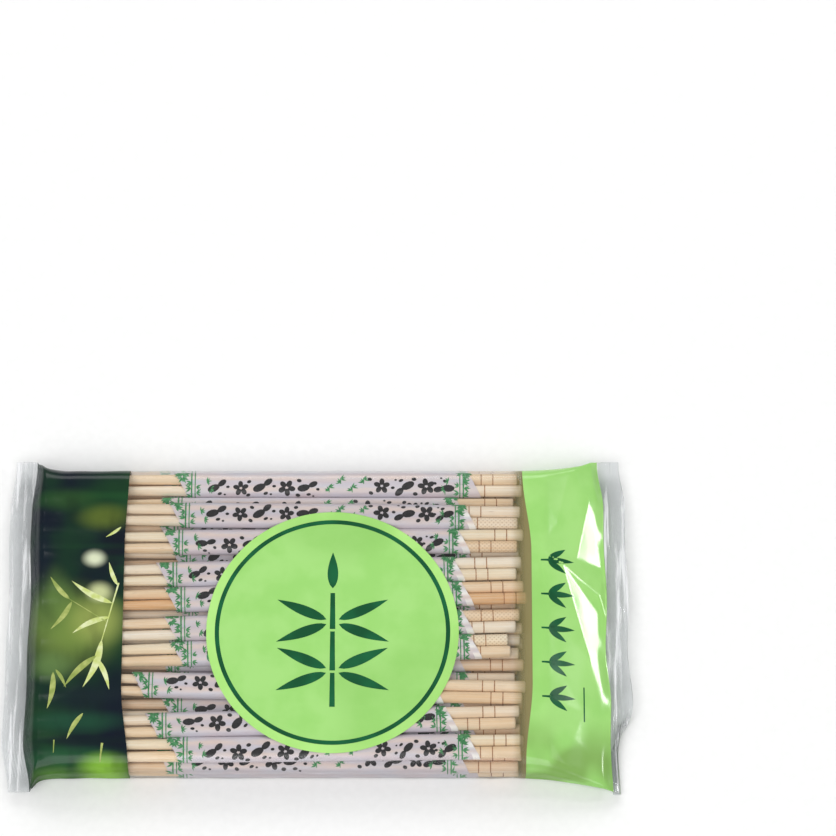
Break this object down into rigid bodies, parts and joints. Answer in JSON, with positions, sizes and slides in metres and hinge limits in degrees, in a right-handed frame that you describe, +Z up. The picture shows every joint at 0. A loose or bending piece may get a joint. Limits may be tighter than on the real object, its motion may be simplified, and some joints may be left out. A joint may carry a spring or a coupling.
{
  "type": "pack of bamboo chopsticks",
  "caption": "Clear flow-wrap pack of disposable round bamboo chopsticks, each pair in a thin slanted sleeve, with crimped end seals, a fin seal and printed bands and labels.",
  "frame": {"origin": "bottom centre of the pack as it lies, front label up", "axes": "+X towards the sticks' thick ends, +Y away from the picture's viewer, +Z up"},
  "size_m": [0.262, 0.146, 0.0174],
  "materials": {
    "bamboo": "smooth",
    "sleeve_film": "satin",
    "clear_film": "gloss",
    "leaf_print": "gloss",
    "green_print": "gloss",
    "dark_print": "gloss",
    "white_print": "gloss"
  },
  "bodies": {
    "root": {"chopsticks_01": "bamboo", "chopsticks_02": "bamboo", "chopsticks_03": "bamboo", "chopsticks_04": "bamboo", "chopsticks_05": "bamboo", "chopsticks_06": "bamboo", "chopsticks_07": "bamboo", "chopsticks_08": "bamboo", "chopsticks_09": "bamboo", "chopsticks_10": "bamboo", "chopsticks_11": "bamboo", "chopsticks_12": "bamboo", "chopsticks_13": "bamboo", "chopsticks_14": "bamboo", "chopsticks_15": "bamboo", "chopsticks_16": "bamboo", "chopsticks_17": "bamboo", "chopsticks_18": "bamboo", "chopsticks_19": "bamboo", "chopsticks_20": "bamboo", "chopsticks_21": "bamboo", "chopsticks_22": "bamboo", "chopsticks_23": "bamboo", "chopsticks_24": "bamboo", "chopsticks_25": "bamboo", "chopsticks_26": "bamboo", "chopsticks_27": "bamboo", "chopsticks_28": "bamboo", "chopsticks_29": "bamboo", "chopsticks_30": "bamboo", "chopsticks_31": "bamboo", "chopsticks_32": "bamboo", "chopsticks_33": "bamboo", "sleeve_01": "sleeve_film", "sleeve_02": "sleeve_film", "sleeve_03": "sleeve_film", "sleeve_04": "sleeve_film", "sleeve_05": "sleeve_film", "sleeve_06": "sleeve_film", "sleeve_07": "sleeve_film", "sleeve_08": "sleeve_film", "sleeve_09": "sleeve_film", "middle_sleeves": "sleeve_film", "bottom_sleeves": "sleeve_film", "film_wrapper": "clear_film", "leaf_band": "leaf_print", "green_band": "green_print", "front_label": "green_print", "front_label_ring": "dark_print", "front_label_motif": "dark_print", "back_label": "green_print", "code_patch": "white_print"}
  },
  "joints": []
}
